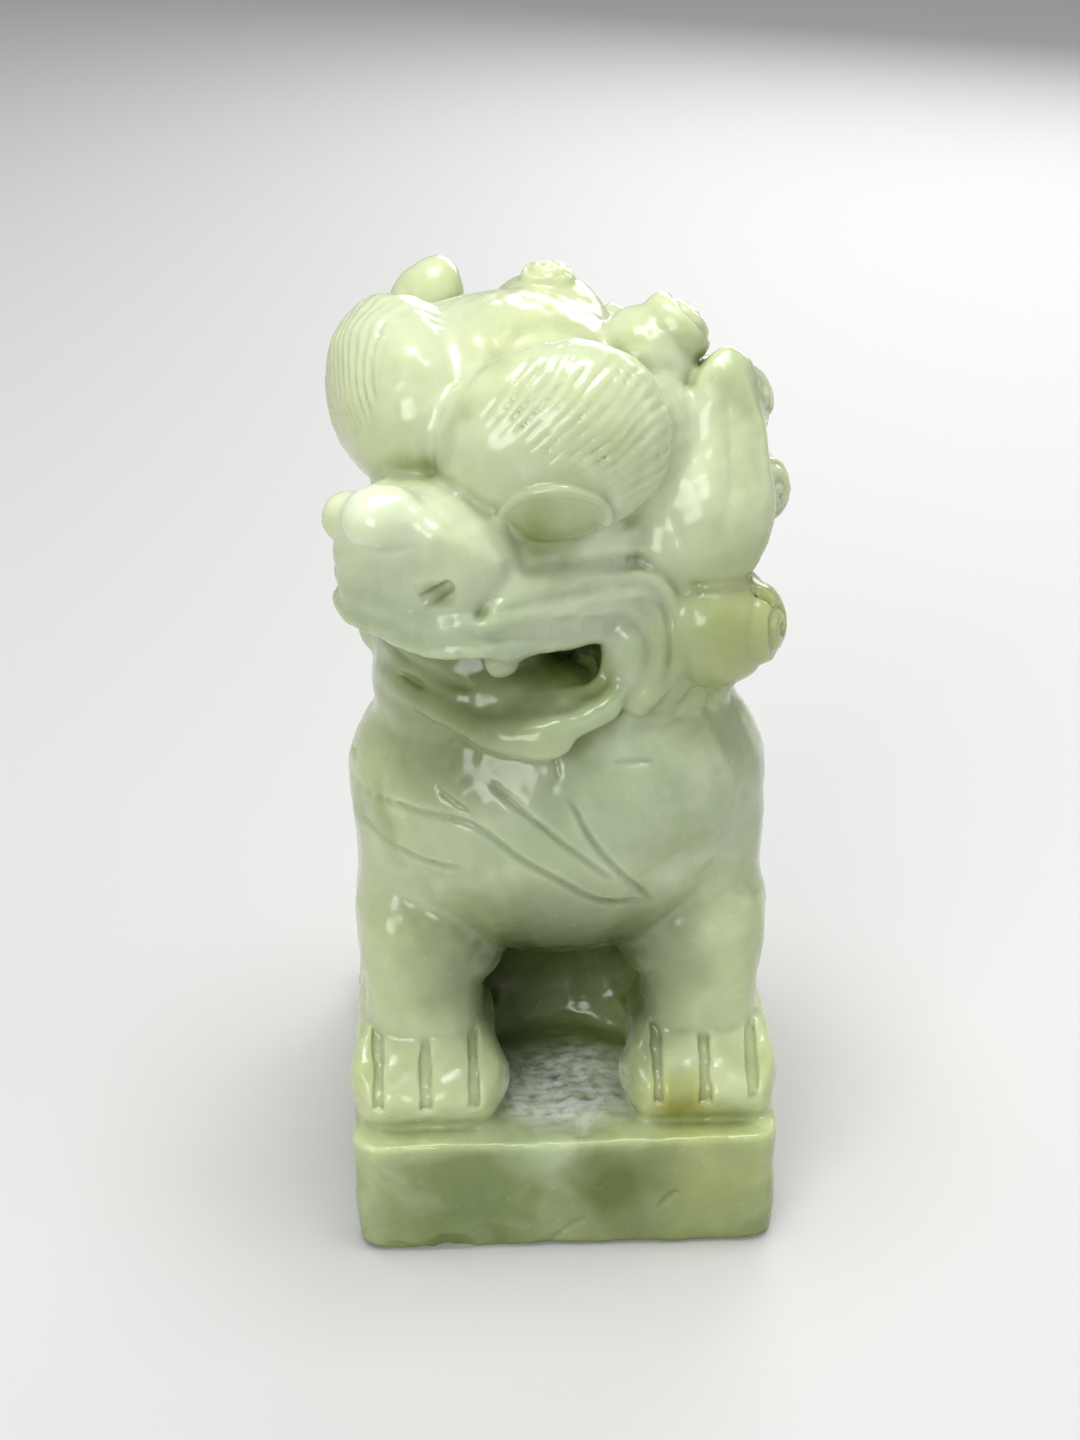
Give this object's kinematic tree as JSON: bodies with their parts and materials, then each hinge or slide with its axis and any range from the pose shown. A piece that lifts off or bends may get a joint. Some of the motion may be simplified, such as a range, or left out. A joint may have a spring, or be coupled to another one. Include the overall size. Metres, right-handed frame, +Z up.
{
  "type": "foo dog statue",
  "caption": "Small seated guardian lion carved from pale green stone on its own rectangular plinth, head turned to its right, with a curly mane and an open mouth.",
  "frame": {"origin": "middle of the plinth's underside", "axes": "+Z up, -Y the way the seated lion's chest and paws face, +X to the lion's own left"},
  "size_m": [0.04, 0.047, 0.0852],
  "materials": {
    "jade": "polished translucent pale green hardstone, yellower in the carved creases"
  },
  "bodies": {
    "root": {"plinth": "jade", "seated_body": "jade", "foreleg_left": "jade", "foreleg_right": "jade", "hind_foot_left": "jade", "hind_foot_right": "jade", "tail": "jade", "head": "jade", "lower_jaw": "jade", "fangs": "jade", "nose": "jade", "brow_left": "jade", "brow_right": "jade", "eye_left": "jade", "eye_right": "jade", "ear_left": "jade", "ear_right": "jade", "beard_locks": "jade", "mane_curls_front": "jade", "mane_curls_nape": "jade"}
  },
  "joints": []
}
